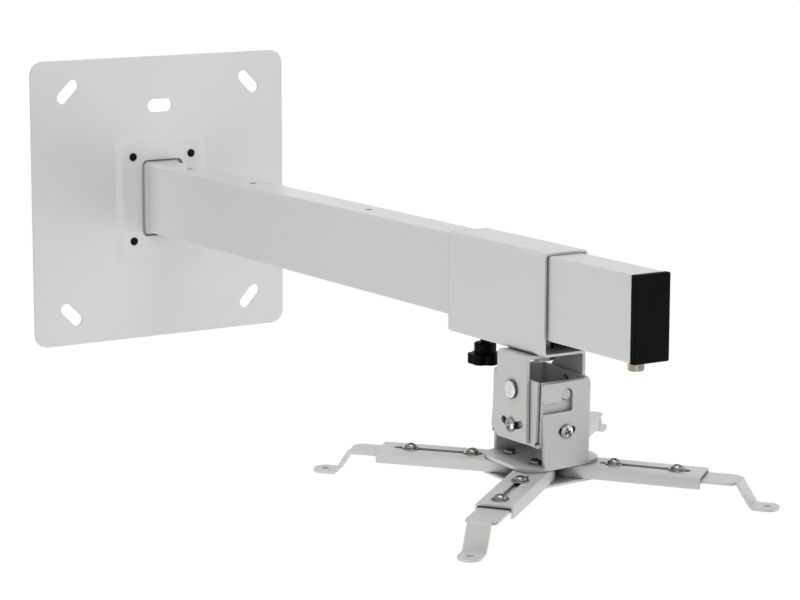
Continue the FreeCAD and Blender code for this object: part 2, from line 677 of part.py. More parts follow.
def hub_bracket():
    """The lower bracket: a wide hub plate with two ears folded up at its ends."""
    body = new_body("hub_bracket", ROLL)
    low = "(-hub_drop - head_gauge)"
    base = new_sketch(body, "XY", low)
    rounded_rectangle(base, "-hub_width / 2", "hub_width / 2", "-" + BRACKET_END, BRACKET_END, "hub_corner")
    pad(body, base, "head_gauge")
    for sign in (-1, 1):
        ear = new_sketch(body, "XZ", "%s" % BRACKET_INSIDE if sign > 0 else "-" + BRACKET_END)
        polygon(ear, [
            ("-bracket_width_low / 2", low),
            ("bracket_width_low / 2", low),
            ("bracket_width_top / 2", "block_rise"),
            ("-bracket_width_top / 2", "block_rise"),
        ])
        pad(body, ear, "head_gauge")
    soften(body, "bracket_corner", lambda edge: straight(edge, 1) and near(edge.BoundBox.ZMax, "block_rise"))
    hook = new_sketch(body, "XZ")
    half = "(roll_pin / 2 + running_gap)"
    polygon(hook, [
        ("-bracket_width_top", "-hook_bottom"),
        (half, "-hook_bottom"),
        (half, "0"),
        ("-" + half, "0"),
        ("-" + half, "-hook_top"),
        ("-bracket_width_top", "-hook_top"),
    ])
    pocket(body, hook)
    corners = ((half, "-hook_bottom"), ("-" + half, "-hook_top"))
    soften(body, "hook_corner", lambda edge: straight(edge, 1) and any(
        near(edge.BoundBox.XMax, x) and near(edge.BoundBox.ZMax, z) for x, z in corners))
    seat = new_sketch(body, "XZ")
    circle(seat, "0", "0", "2 * " + half)
    pocket(body, seat)
    arc_slot(body, "YZ", "XZ", "2 * " + BRACKET_END, "roll_slot_radius", "roll_slot_width",
             "roll_slot_swing_angle")
    holes = new_sketch(body, "XY", "-hub_drop + head_gauge")
    for x, y in arm_pivots():
        circle(holes, x, y, "arm_screw")
    pocket(body, holes, "3 * head_gauge")
    return body


def arm_pivots():
    return [("%d * arm_pivot_x" % side, "%d * arm_pivot_y" % end) for side, end in ARMS.values()]


ARM_TOP = "(-hub_drop - head_gauge - face_gap)"
LOWER_TOP = "(-hub_drop - head_gauge - arm_height - 2 * face_gap)"


def hub_lower_plate():
    body = new_body("hub_lower_plate", ROLL)
    outline = new_sketch(body, "XY", "%s - hub_lower_gauge" % LOWER_TOP)
    rounded_rectangle(outline, "-hub_lower_width / 2", "hub_lower_width / 2", "-hub_lower_depth / 2",
                      "hub_lower_depth / 2", "hub_corner")
    for x, y in arm_pivots():
        circle(outline, x, y, "arm_screw")
    pad(body, outline, "hub_lower_gauge")
    return body


def arm_pivot_bushes():
    """The spacers on which the arms turn, between the two hub plates."""
    body = new_body("arm_pivot_bushes", ROLL)
    ring = new_sketch(body, "XY", LOWER_TOP)
    for x, y in arm_pivots():
        circle(ring, x, y, "arm_bush")
        circle(ring, x, y, "arm_screw")
    pad(body, ring, "arm_height + 2 * face_gap")
    return body


def arm_pivot_screws():
    body = new_body("arm_pivot_screws", ROLL)
    discs(body, "XY", arm_pivots(), [
        ("arm_screw_head", "-hub_drop", "-hub_drop + arm_screw_head_height"),
        ("arm_screw", "%s - hub_lower_gauge - arm_nut_height" % LOWER_TOP, "-hub_drop"),
    ])
    rim = "-hub_drop + arm_screw_head_height"
    soften(body, "arm_screw_head_height / 2", lambda edge: near(edge.BoundBox.ZMin, rim))
    return body


def arm_pivot_nuts():
    body = new_body("arm_pivot_nuts", ROLL)
    seat = new_sketch(body, "XY", "%s - hub_lower_gauge" % LOWER_TOP)
    for x, y in arm_pivots():
        hexagon(seat, x, y, "arm_nut")
        circle(seat, x, y, "arm_screw")
    pad(body, seat, "arm_nut_height", backward=True)
    return body


# Arms. An arm's own frame has its pivot at the origin, on the channel's top, and its length along +X.

ARM_SLOT_END = "(arm_slot_start + screw_spacing + strip_thread + arm_slot_travel)"
ARM_LENGTH = "(%s + arm_slot_margin)" % ARM_SLOT_END
STRIP_REACH = "(screw_spacing + strip_lead)"
STRIP_TOP = "(-arm_gauge - slide_gap)"


def arm_frame(name):
    side, end = ARMS[name]
    return ROLL + (" * placement(vector(%d * arm_pivot_x; %d * arm_pivot_y; %s); "
                   "rotation(vector(0; 0; 1); %s_angle))") % (side, end, ARM_TOP, name)


def strip_frame(name):
    out = "arm_slot_start + strip_thread / 2 + %s_slid" % name
    return arm_frame(name) + " * placement(vector(%s; 0; 0); rotation(0; 0; 0))" % out


def arm_channel(name):
    """The inner part of an arm: a channel open below, round at its pivot and open at its outer end."""
    body = new_body("arm_channel_" + name, arm_frame(name))
    for inset, depth, cut in (("0", "arm_height", False), ("arm_gauge", "arm_height", True)):
        end = ARM_LENGTH + (" + arm_gauge" if cut else "")
        for shape in ("run", "root"):
            sketch = new_sketch(body, "XY", "-arm_height" if cut else "0")
            if shape == "run":
                rectangle(sketch, "0", end, "-arm_width / 2 + %s" % inset, "arm_width / 2 - %s" % inset)
            else:
                circle(sketch, "0", "0", "arm_width - 2 * %s" % inset)
            if cut:
                pocket(body, sketch, "arm_height - arm_gauge", forward=True)
            else:
                pad(body, sketch, depth, backward=True)
    soften(body, "arm_gauge", lambda edge: near(edge.BoundBox.ZMin, "0")
           and edge.BoundBox.XLength > number("arm_width"))
    soften(body, "arm_end_corner", lambda edge: straight(edge, 1) and near(edge.BoundBox.XMax, ARM_LENGTH)
           and near(edge.BoundBox.ZMax, "-arm_height"))
    window = new_sketch(body, "XY", "arm_gauge")
    slot(window, "(arm_slot_start + %s) / 2" % ARM_SLOT_END, "0", "%s - arm_slot_start" % ARM_SLOT_END,
         "arm_slot_width")
    circle(window, "0", "0", "arm_bush + 2 * running_gap")
    pocket(body, window, "3 * arm_gauge")
    return body


def arm_strip(name):
    """The outer part of an arm: a strip that slides in the channel and bends down to a foot."""
    body = new_body("arm_strip_" + name, strip_frame(name))
    shoulder = "%s - shoulder_length" % STRIP_REACH
    flat = new_sketch(body, "XY", STRIP_TOP)
    rectangle(flat, "-strip_tail", shoulder, "-strip_width / 2", "strip_width / 2")
    pad(body, flat, "strip_gauge", backward=True)

    # The foot's side view: down from the bend and out again, as thick as the sheet all the way.
    heel = "(%s + foot_run)" % STRIP_REACH
    end = "%s + foot_length" % heel
    slack = "strip_gauge * tan(atan(foot_drop / foot_run) / 2)"
    under = "%s - strip_gauge" % STRIP_TOP
    pad_top = "%s - foot_drop" % STRIP_TOP
    pad_low = "%s - foot_drop - strip_gauge" % STRIP_TOP
    bend_in, heel_out = "%s - %s" % (STRIP_REACH, slack), "%s - %s" % (heel, slack)
    start = "%s - shoulder_length" % shoulder
    side = new_sketch(body, "XZ")
    polygon(side, [(start, STRIP_TOP), (STRIP_REACH, STRIP_TOP), (heel, pad_top), (end, pad_top),
                   (end, pad_low), (heel_out, pad_low), (bend_in, under), (start, under)])
    pad(body, side, "foot_width", both_ways=True)
    bends = [
        ("foot_bend", STRIP_REACH, STRIP_TOP),
        ("foot_bend - strip_gauge", bend_in, under),
        ("heel_bend", heel_out, pad_low),
        ("heel_bend - strip_gauge", heel, pad_top),
    ]
    for radius, x, z in bends:
        soften(body, radius, lambda edge: straight(edge, 1) and near(edge.BoundBox.XMin, x)
               and near(edge.BoundBox.ZMin, z))

    # The tab between the strip and the bend.
    tab = new_sketch(body, "XY", STRIP_TOP)
    rectangle(tab, start, "%s - foot_bend" % STRIP_REACH, "-shoulder_width / 2", "shoulder_width / 2")
    pad(body, tab, "strip_gauge", backward=True)
    soften(body, "foot_width / 2 - 0.5", lambda edge: straight(edge, 2)
           and near(edge.BoundBox.XMin, end))
    holes = new_sketch(body, "XY", STRIP_TOP)
    for reach in ("0", "screw_spacing"):
        circle(holes, reach, "0", "strip_thread")
    circle(holes, "%s - foot_hole_inset" % end, "0", "foot_hole")
    pocket(body, holes)
    return body


def strip_screws(name):
    """The two dome-head screws that ride in the channel's slot and hold the strip."""
    body = new_body("strip_screws_" + name, strip_frame(name))
    tip = "%s - strip_gauge - strip_nut_height" % STRIP_TOP
    centres = [("0", "0"), ("screw_spacing", "0")]
    flange_top = "(running_gap + strip_flange_height)"
    rim = "running_gap + strip_head_height"
    discs(body, "XY", centres, [
        ("strip_flange", "running_gap", flange_top),
        ("strip_head", flange_top, rim),
        ("strip_thread", tip, "running_gap"),
    ])
    soften(body, "(strip_head_height - strip_flange_height) * 0.8",
           lambda edge: near(edge.BoundBox.ZMin, rim))
    soften(body, "strip_flange_height / 2", lambda edge: near(edge.BoundBox.ZMin, flange_top)
           and near(edge.BoundBox.XLength, "strip_flange"))
    return body


def strip_nuts(name):
    body = new_body("strip_nuts_" + name, strip_frame(name))
    seat = new_sketch(body, "XY", "%s - strip_gauge" % STRIP_TOP)
    for reach in ("0", "screw_spacing"):
        hexagon(seat, reach, "0", "strip_nut")
        circle(seat, reach, "0", "strip_thread")
    pad(body, seat, "strip_nut_height", backward=True)
    return body


def build():
    parts = [
        wall_plate(), tube_flange(), flange_screws(), support_tube(), tube_end_cap(), stop_bolt(),
        slide_sleeve(), clamp_nut(), clamp_knob(), clamp_stud(),
        swivel_bolt(), swivel_nut(), tilt_clevis(), tilt_pins(), tilt_block(), roll_pins(),
        lock_screws("tilt_lock_screws", "YZ", "tilt_slot_radius", "(clevis_width / 2 + running_gap)",
                    "(%s - block_gauge)" % BLOCK_SIDE),
        lock_screws("roll_lock_screws", "XZ", "roll_slot_radius", "(%s + running_gap)" % BRACKET_END,
                    "(%s - block_gauge)" % BLOCK_END),
        hub_bracket(), hub_lower_plate(), arm_pivot_bushes(), arm_pivot_screws(), arm_pivot_nuts(),
    ]
    for name in ARMS:
        parts += [arm_channel(name), arm_strip(name), strip_screws(name), strip_nuts(name)]
    doc.recompute()
    return parts


def check(parts):
    """Stops if anything in the document failed, or a sub-part has no sound solid."""
    for item in doc.Objects:
        if "Invalid" in item.State or "Error" in item.State:
            raise RuntimeError("%s (%s) failed: %s" % (item.Label, item.Name, item.State))
    for part in parts:
        if part.Shape.isNull() or not part.Shape.isValid() or not part.Shape.Solids:
            raise RuntimeError("%s has no sound solid" % part.Label)


parts = build()
check(parts)
os.makedirs("parts", exist_ok=True)
for part in parts:
    part.Shape.exportStep("parts/%s.step" % part.Label)
    print("%-28s solids %d volume %.1f" % (part.Label, len(part.Shape.Solids), part.Shape.Volume))
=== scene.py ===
import json
import math

import bpy
from mathutils import Matrix, Vector

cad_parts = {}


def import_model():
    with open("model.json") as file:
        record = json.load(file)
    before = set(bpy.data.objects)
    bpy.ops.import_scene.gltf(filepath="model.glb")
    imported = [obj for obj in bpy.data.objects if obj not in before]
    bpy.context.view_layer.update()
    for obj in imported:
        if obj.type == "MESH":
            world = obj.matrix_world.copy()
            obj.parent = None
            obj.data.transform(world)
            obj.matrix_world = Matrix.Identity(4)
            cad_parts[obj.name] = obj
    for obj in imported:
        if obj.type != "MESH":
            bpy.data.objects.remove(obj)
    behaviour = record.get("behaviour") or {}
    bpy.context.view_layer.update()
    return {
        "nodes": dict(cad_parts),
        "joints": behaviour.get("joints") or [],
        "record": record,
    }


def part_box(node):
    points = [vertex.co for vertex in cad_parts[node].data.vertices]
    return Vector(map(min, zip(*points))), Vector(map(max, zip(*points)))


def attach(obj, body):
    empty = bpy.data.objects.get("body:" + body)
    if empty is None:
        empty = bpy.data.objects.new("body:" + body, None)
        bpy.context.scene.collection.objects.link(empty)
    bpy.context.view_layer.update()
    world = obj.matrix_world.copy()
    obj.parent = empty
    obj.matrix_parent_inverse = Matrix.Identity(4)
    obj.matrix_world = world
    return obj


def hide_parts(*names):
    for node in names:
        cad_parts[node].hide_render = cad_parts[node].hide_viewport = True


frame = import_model()

NODES = frame["nodes"]
JOINTS = {joint["name"]: joint for joint in frame["joints"]}
ARMS = ("wall_left", "room_left", "room_right", "wall_right")
MM = 0.001

slots = {entry["node"]: entry["material_slot"] for entry in frame["record"]["subparts"]}
bodies = {node: body
          for body, nodes in frame["record"]["behaviour"]["bodies"].items()
          for node in nodes}


# Materials

def shader(name, base, roughness, metallic=0.0, **sockets):
    """A principled material: its node tree, its shader and the material."""
    material = bpy.data.materials.new(name)
    material.use_nodes = True
    tree = material.node_tree
    principled = tree.nodes["Principled BSDF"]
    principled.inputs["Base Color"].default_value = (*base, 1)
    principled.inputs["Roughness"].default_value = roughness
    principled.inputs["Metallic"].default_value = metallic
    for socket, value in sockets.items():
        principled.inputs[socket.replace("_", " ")].default_value = value
    return tree, principled, material


def noise(tree, scale, detail=3.0, roughness=0.5, stretch=None):
    """A noise texture in the object's own coordinates, in metres."""
    place = tree.nodes.new("ShaderNodeTexCoord")
    texture = tree.nodes.new("ShaderNodeTexNoise")
    texture.inputs["Scale"].default_value = scale
    texture.inputs["Detail"].default_value = detail
    texture.inputs["Roughness"].default_value = roughness
    source = place.outputs["Object"]
    if stretch:
        mapping = tree.nodes.new("ShaderNodeMapping")
        mapping.inputs["Scale"].default_value = stretch
        tree.links.new(source, mapping.inputs["Vector"])
        source = mapping.outputs["Vector"]
    tree.links.new(source, texture.inputs["Vector"])
    return texture.outputs["Fac"]


def ramp(tree, source, low, high, start=0.35, end=0.65):
    """Spreads a range of a value, by default a noise's middle, over low to high."""
    spread = tree.nodes.new("ShaderNodeMapRange")
    spread.inputs["From Min"].default_value = start
    spread.inputs["From Max"].default_value = end
    spread.inputs["To Min"].default_value = low
    spread.inputs["To Max"].default_value = high
    tree.links.new(source, spread.inputs["Value"])
    return spread.outputs["Result"]


def mix(tree, factor, low, high):
    """A colour between two, each a plain colour or another node's output."""
    colours = tree.nodes.new("ShaderNodeMix")
    colours.data_type = "RGBA"
    for socket, colour in (("A", low), ("B", high)):
        if isinstance(colour, (tuple, list)):
            colours.inputs[socket].default_value = (*colour, 1)
        else:
            tree.links.new(colour, colours.inputs[socket])
    tree.links.new(factor, colours.inputs["Factor"])
    return colours.outputs["Result"]


def tone_with_painted_shade(tree, principled, source, low, high, shade, reach, alone=False):
    """The base colour: a noise between two tones, with painted shade where the surface is shut in.

    Alone, only the piece's own walls count for that shade, because another piece slides along it."""
    tone = mix(tree, ramp(tree, source, 0, 1), low, high)
    # Painted shade: ambient occlusion darkens the base colour in corners, recesses and gaps between
    # parts.
    closed = tree.nodes.new("ShaderNodeAmbientOcclusion")
    closed.samples = 8
    closed.only_local = alone
    closed.inputs["Distance"].default_value = reach
    open_part = ramp(tree, closed.outputs["AO"], 0, 1, start=0.0, end=0.85)
    dark = [shade * part for part in low]
    tree.links.new(mix(tree, open_part, dark, tone), principled.inputs["Base Color"])


def uneven_gloss(tree, principled, source, roughness, spread):
    """A roughness that a noise moves up and down."""
    tree.links.new(ramp(tree, source, roughness - spread, roughness + spread),
                   principled.inputs["Roughness"])


def bump(tree, principled, height, distance, strength):
    """Fine relief, as deep as the distance in metres."""
    node = tree.nodes.new("ShaderNodeBump")
    node.inputs["Strength"].default_value = strength
    node.inputs["Distance"].default_value = distance
    tree.links.new(height, node.inputs["Height"])
    tree.links.new(node.outputs["Normal"], principled.inputs["Normal"])


def powder_coat(name, colour, roughness, alone=False):
    """Baked powder paint: faint orange peel, uneven gloss, hardly any change of colour, and painted
    shade in corners.
    """
    tree, principled, material = shader(name, colour, roughness, Coat_Weight=0.06,
                                        Coat_Roughness=0.15, Specular_IOR_Level=0.35)
    darker = tuple(0.985 * part for part in colour)
    # Painted shade: the colour falls to about a quarter in corners and gaps up to 16 mm across.
    tone_with_painted_shade(tree, principled, noise(tree, scale=9, detail=2), darker, colour,
                     shade=0.26, reach=16 * MM, alone=alone)
    uneven_gloss(tree, principled, noise(tree, scale=60), roughness, spread=0.04)
    peel = noise(tree, scale=900, detail=2, roughness=0.4)
    bump(tree, principled, peel, distance=0.02 * MM, strength=0.4)
    return material


def black_plastic():
    """Moulded plastic with a fine spark-eroded grain."""
    middle, roughness = (0.002, 0.002, 0.002), 0.46
    darker, lighter = (0.0014, 0.0014, 0.0016), (0.003, 0.003, 0.003)
    tree, principled, material = shader("black_plastic", middle, roughness,
                                        Specular_IOR_Level=0.03)
    tone = mix(tree, ramp(tree, noise(tree, scale=40), 0, 1), darker, lighter)
    tree.links.new(tone, principled.inputs["Base Color"])
    uneven_gloss(tree, principled, noise(tree, scale=200, detail=4), roughness, spread=0.06)
    grain = noise(tree, scale=2500, detail=3, roughness=0.6)
    bump(tree, principled, grain, distance=0.03 * MM, strength=0.4)
    return material


def plated_steel(name, colour, roughness, shade=0.12, reach=3 * MM):
    """Plated steel: faint clouds in colour and gloss, fine turned marks, and painted shade in
    corners.
    """
    tree, principled, material = shader(name, colour, roughness, metallic=1.0)
    darker = tuple(0.85 * part for part in colour)
    # Painted shade: the ambient occlusion darkens the colour in the screws' corners and recesses.
    tone_with_painted_shade(tree, principled, noise(tree, scale=250), darker, colour, shade, reach)
    uneven_gloss(tree, principled, noise(tree, scale=700), roughness, spread=0.05)
    marks = noise(tree, scale=1800, detail=2, stretch=(1, 1, 6))
    bump(tree, principled, marks, distance=0.01 * MM, strength=0.3)
    return material


WHITE_PAINT, WHITE_ROUGHNESS = (0.645, 0.645, 0.645), 0.34

MATERIALS = {
    "satin_white": powder_coat("satin_white", WHITE_PAINT, WHITE_ROUGHNESS),
    "warm_grey": powder_coat("warm_grey", (0.57, 0.57, 0.55), 0.38),
    "black_plastic": black_plastic(),
    "black_steel": plated_steel("black_steel", (0.008, 0.008, 0.0085), 0.4),
    "brass_screw": plated_steel("brass_screw", (0.24, 0.21, 0.175), 0.28, shade=0.05, reach=2 * MM),
    "zinc": plated_steel("zinc", (0.33, 0.33, 0.325), 0.14, shade=0.03, reach=4.5 * MM),
}

# The same coats where they look otherwise: on the tube that the sleeve slides along, brushed on
# the big tilt pins, darker zinc as painted shade in the shade of the head and under the hub, and
# darker zinc as painted dark reflections on the arms' domes.
satin_tube = powder_coat("satin_tube", WHITE_PAINT, WHITE_ROUGHNESS, alone=True)
zinc_brushed = plated_steel("zinc_brushed", (0.66, 0.66, 0.65), 0.38, shade=0.2, reach=2 * MM)
zinc_painted_shade = plated_steel("zinc_painted_shade", (0.19, 0.19, 0.187), 0.24, shade=0.03, reach=4 * MM)
zinc_painted_shade_under = plated_steel("zinc_painted_shade_under", (0.25, 0.25, 0.245), 0.3)
# A darker zinc whose base colour paints dark reflections on the arms' domes.
zinc_painted_dark_domes = plated_steel("zinc_painted_dark_domes", (0.2, 0.2, 0.197), 0.12, shade=0.02, reach=4.5 * MM)

FINISHES = {
    "support_tube": satin_tube,
    "tilt_pins": zinc_brushed,
    # Darker zinc on these is painted shade, for parts under the hub and in the sleeve's shade.
    "arm_pivot_screws": zinc_painted_shade,
    "clamp_nut": zinc_painted_shade,
    "swivel_bolt": zinc_painted_shade,
    "swivel_nut": zinc_painted_shade,
    "arm_pivot_nuts": zinc_painted_shade_under,
    **{"strip_screws_" + arm: zinc_painted_dark_domes for arm in ARMS},
}


def finish(name):
    """A node's material: its own finish, or that of its slot."""
    return FINISHES.get(name) or MATERIALS[slots[name]]


for name, node in NODES.items():
    node.data.materials.clear()
    node.data.materials.append(finish(name))


# Edges of the sheet parts

SOFT_EDGE, PLATE_EDGE = 0.3 * MM, 0.4 * MM

# The plate's pressed middle in millimetres: how far its two levels stand off the wall, and the
# half width and half height that hold the outer bend, that the inner bend begins at, and that
# the inner bend's round corners begin at.
PLATE_FACE, PRESSED_FACE, SAME_LEVEL = 2.5, 5.5, 0.05
OUTER_BEND, INNER_BEND, INNER_CORNER = (45.1, 56.1), (38.9, 49.9), (32.9, 43.9)
PANEL_BEND = 3.2 * MM


def panel_bends(node):
    """A group of the points where the plate's pressed middle leaves the sheet and is flat again."""
    spots = []
    for vertex in node.data.vertices:
        across, out, up = abs(vertex.co.x) / MM, -vertex.co.y / MM, abs(vertex.co.z) / MM
        outer = across < OUTER_BEND[0] and up < OUTER_BEND[1]
        inner = across > INNER_BEND[0] or up > INNER_BEND[1] or (
            across > INNER_CORNER[0] and up > INNER_CORNER[1])
        on_plate, on_pressed = (abs(out - level) < SAME_LEVEL
                                for level in (PLATE_FACE, PRESSED_FACE))
        if (on_plate and outer) or (on_pressed and inner):
            spots.append(vertex.index)
    group = node.vertex_groups.new(name="bends")
    group.add(spots, 1.0, "REPLACE")
    return group.name


def ease_edges(node):
    """Rounds a CAD node's sharp edges a little, as bending, cutting and paint do."""
    is_plate = node.name == "wall_plate"
    weld = node.modifiers.new("weld", "WELD")
    weld.merge_threshold = 0.002 * MM
    planar = node.modifiers.new("planar", "DECIMATE")
    planar.decimate_type = "DISSOLVE"
    planar.angle_limit = math.radians(1)
    if is_plate:
        pressed = node.modifiers.new("pressed", "BEVEL")
        pressed.limit_method = "VGROUP"
        pressed.vertex_group = panel_bends(node)
        pressed.width = PANEL_BEND
        pressed.segments = 5
        pressed.harden_normals = True
    bevel = node.modifiers.new("bevel", "BEVEL")
    bevel.limit_method = "ANGLE"
    bevel.angle_limit = math.radians(40)
    bevel.width = PLATE_EDGE if is_plate else SOFT_EDGE
    bevel.segments = 2
    bevel.harden_normals = True
    bevel.use_clamp_overlap = True


# Frames of the moving parts, from the joints

def axes(place, x, z):
    """A frame at a place from two axes."""
    x, z = Vector(x).normalized(), Vector(z).normalized()
    turn = Matrix((x, z.cross(x), z)).transposed().to_4x4()
    return Matrix.Translation(Vector(place)) @ turn


tilt_axis = Vector(JOINTS["head_tilt"]["axis"])
roll_axis = Vector(JOINTS["head_roll"]["axis"])
hub_up = Vector(JOINTS["swing_wall_left"]["axis"])
CENTRE = Vector(JOINTS["head_tilt"]["pos_m"])
TILT = axes(CENTRE, tilt_axis, tilt_axis.cross(roll_axis))
HUB = axes(CENTRE, roll_axis.cross(hub_up), hub_up)


def arm_frame(arm):
    """An arm's frame: its pivot, with X along the arm and Z up the pivot."""
    swing, extend = JOINTS["swing_" + arm], JOINTS["extend_" + arm]
    return axes(swing["pos_m"], extend["axis"], swing["axis"])


def facing(direction):
    """A turn that takes +Z to a direction."""
    return Vector(direction).to_track_quat("Z", "Y").to_matrix().to_4x4()


def spot(x, y, z, direction=(0, 0, 1)):
    """A place whose +Z looks in a direction."""
    return Matrix.Translation(Vector((x, y, z))) @ facing(direction)


def side_spot(middle, along, side, reach):
    """A place on one side of the middle, along a frame's axis of that number, facing outwards."""
    place, out = Vector(middle), Vector((0, 0, 0))
    place[along], out[along] = side * reach, side
    return spot(*place, out)


def spin(degrees):
    """A turn about +Z."""
    return Matrix.Rotation(math.radians(degrees), 4, "Z")


def local_box(node, around):
    """The lowest and highest corner of a CAD node in another frame."""
    inverse = around.inverted()
    points = [inverse @ vertex.co for vertex in NODES[node].data.vertices]
    return (Vector(map(min, zip(*points))), Vector(map(max, zip(*points))))


# Meshes of small parts. Each is a list of vertices and a list of faces about its own +Z.

ROUND, HEAD_ROUND, HEAD_STEP = 64, 72, 0.17 * MM


def lathe(rings, segments=ROUND, carve=None, radius=None):
    """Turns rings (radius, height) about Z. The first and last ring close the form.

    carve(x, y) sinks a point of the upper side, and radius(r, angle) reshapes a ring."""
    points, faces = [], []
    for index, (size, height) in enumerate(rings):
        for step in range(segments):
            angle = 2 * math.pi * step / segments
            reach = radius(size, angle) if radius else size
            x, y = reach * math.cos(angle), reach * math.sin(angle)
            sunk = carve(x, y) if carve and height > 0 else 0
            points.append((x, y, height - sunk))
            if index:
                here, after = index * segments + step, index * segments + (step + 1) % segments
                faces.append((here, here - segments, after - segments, after))
    for start, turned in ((0, True), ((len(rings) - 1) * segments, False)):
        rim = list(range(start, start + segments))
        faces.append(rim if turned else rim[::-1])
    return points, faces


def thread(diameter, low, high, pitch, segments=32):
    """A helical thread with flat ends."""
    depth = 0.6 * pitch
    rows = int((high - low) / pitch * 4) + 8
    points, faces = [], []
    for row in range(rows):
        reach = diameter / 2 - (depth if row % 4 > 1 else 0)
        for step in range(segments + 1):
            angle = 2 * math.pi * step / segments
            height = low + pitch * (row / 4 + step / segments - 1)
            height = min(max(height, low), high)
            points.append((reach * math.cos(angle), reach * math.sin(angle), height))
            if row and step:
                here = row * (segments + 1) + step
                faces.append((here, here - 1, here - segments - 2, here - segments - 1))
    for row in (0, rows - 1):
        ring = [row * (segments + 1) + step for step in range(segments)]
        faces.append(ring[::-1] if row == 0 else ring)
    return points, faces


def smooth(value):
    """0 to 1 with a soft start and end."""
    value = min(max(value, 0), 1)
    return value * value * (3 - 2 * value)


def cross_recess(reach, half_width, depth):
    """A cross recess, deepest in the middle."""
    def carve(x, y):
        along, across = max(abs(x), abs(y)), min(abs(x), abs(y))
        inside = smooth((half_width - across) / (0.25 * half_width) + 0.5)
        inside *= smooth((reach - along) / (0.15 * reach) + 0.5)
        return depth * inside * (1 - 0.75 * (along / reach) ** 1.5 if along < reach else 0.25)
    return carve


def hex_recess(across, depth):
    """A hexagon socket with a flat bottom."""
    def carve(x, y):
        angle = math.atan2(y, x)
        turn = (angle + math.pi / 6) % (math.pi / 3) - math.pi / 6
        apothem = math.hypot(x, y) * math.cos(turn)
        return depth * smooth((across / 2 - apothem) / (0.04 * across) + 0.5)
    return carve


def fine(rings, step):
    """Adds rings between a profile's points, so a recess has edges to follow."""
    out = [rings[0]]
    for (r1, z1), (r2, z2) in zip(rings, rings[1:]):
        count = max(1, round(math.hypot(r2 - r1, z2 - z1) / step))
        for index in range(1, count + 1):
            part = index / count
            out.append((r1 + (r2 - r1) * part, z1 + (z2 - z1) * part))
    return out


def dome(radius, height, edge, rim=0.0, count=14):
    """The profile of a pan or dome head: an elliptic top down to an upright edge."""
    rings = [(0.02 * radius, height)]
    for index in range(1, count + 1):
        angle = math.pi / 2 * index / count
        rings.append((radius * math.sin(angle), edge + (height - edge) * math.cos(angle)))
    rings.append((radius, rim))
    return rings


def recessed_head(profile, carve):
    """A turned head with a recess in its top."""
    return lathe(fine(profile, HEAD_STEP), HEAD_ROUND, carve)


def chamfered_nut(across, height, bore):
    """A hexagon nut with the corners of both faces turned off."""
    flat, inner, segments = 0.475 * across, bore / 2, 72
    points, faces = [], []

    def corner(angle):
        turn = angle % (math.pi / 3) - math.pi / 6
        return across / 2 / math.cos(turn)

    levels = []
    for step in range(segments):
        angle = 2 * math.pi * step / segments
        reach = corner(angle)
        drop = (reach - flat) * math.tan(math.radians(30))
        levels.append([(inner, 0.06 * across), (inner + 0.05 * across, 0), (flat, 0), (reach, drop),
                       (reach, height - drop), (flat, height), (inner + 0.05 * across, height),
                       (inner, height - 0.06 * across)])
    count = len(levels[0])
    for step, column in enumerate(levels):
        angle = 2 * math.pi * step / segments
        points += [(size * math.cos(angle), size * math.sin(angle), rise) for size, rise in column]
        here, after = step * count, (step + 1) % segments * count
        for index in range(count):
            above = (index + 1) % count
            faces.append((here + index, here + above, after + above, after + index))
    return points, faces


def piece(name, parts, like, rim=None, axis=None):
    """One mesh from shells placed by frames, in place of a CAD node, with its body and finish.

    Faces that don't look along the axis take the rim material, where there is one."""
    points, faces = [], []
    for (shell_points, shell_faces), place in parts:
        start = len(points)
        points += [place @ Vector(point) for point in shell_points]
        faces += [[start + index for index in face] for face in shell_faces]
    mesh = bpy.data.meshes.new(name)
    mesh.from_pydata(points, [], faces)
    mesh.validate()
    mesh.update()
    made = bpy.data.objects.new(name, mesh)
    bpy.context.scene.collection.objects.link(made)
    bpy.context.view_layer.objects.active = made
    made.select_set(True)
    bpy.ops.object.mode_set(mode="EDIT")
    bpy.ops.mesh.select_all(action="SELECT")
    bpy.ops.mesh.normals_make_consistent(inside=False)
    bpy.ops.object.mode_set(mode="OBJECT")
    made.select_set(False)
    mesh.shade_smooth()
    mesh.set_sharp_from_angle(angle=math.radians(38))
    mesh.materials.append(finish(like))
    if rim:
        mesh.materials.append(rim)
        for face in mesh.polygons:
            face.material_index = 0 if abs(face.normal.dot(axis)) > 0.8 else 1
    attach(made, bodies[like])
    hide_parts(like)
    return made


# Threads: sizes and pitches, how far they run into a head, and a nut's bore as a share of the size

M5, M5_PITCH = 5 * MM, 0.8 * MM
M6, M6_PITCH = 6 * MM, 1.0 * MM
STUD_PITCH, STUD_ROUND = 1.25 * MM, 48
ROOT, NUT_BORE = 0.2 * MM, 0.92


# Lock screws in the arc slots

LOCK_HEAD, LOCK_HEIGHT, LOCK_TIP = 10.2 * MM, 2.9 * MM, 7.54 * MM


def lock_screw():
    """A pan-head screw with a cross recess, whose head stands on z = 0."""
    head = dome(LOCK_HEAD / 2, LOCK_HEIGHT, edge=0.42 * LOCK_HEIGHT)
    carve = cross_recess(reach=2.7 * MM, half_width=0.62 * MM, depth=1.7 * MM)
    return [recessed_head(head, carve), thread(M5, -LOCK_TIP, ROOT, M5_PITCH)]


def lock_screws(node, along):
    """Both screws of a node, one through each ear, with their recesses turned as they were left."""
    low, high = local_box(node, TILT)
    seat = high[along] - LOCK_HEIGHT
    parts = []
    for side, turn in ((-1, 20), (1, 65)):
        at = TILT @ side_spot((low + high) / 2, along, side, seat) @ spin(turn)
        parts += [(shell, at) for shell in lock_screw()]
    piece(node.replace("lock_screws", "cross_screws"), parts, node)


# Pins of the tilt and roll axes

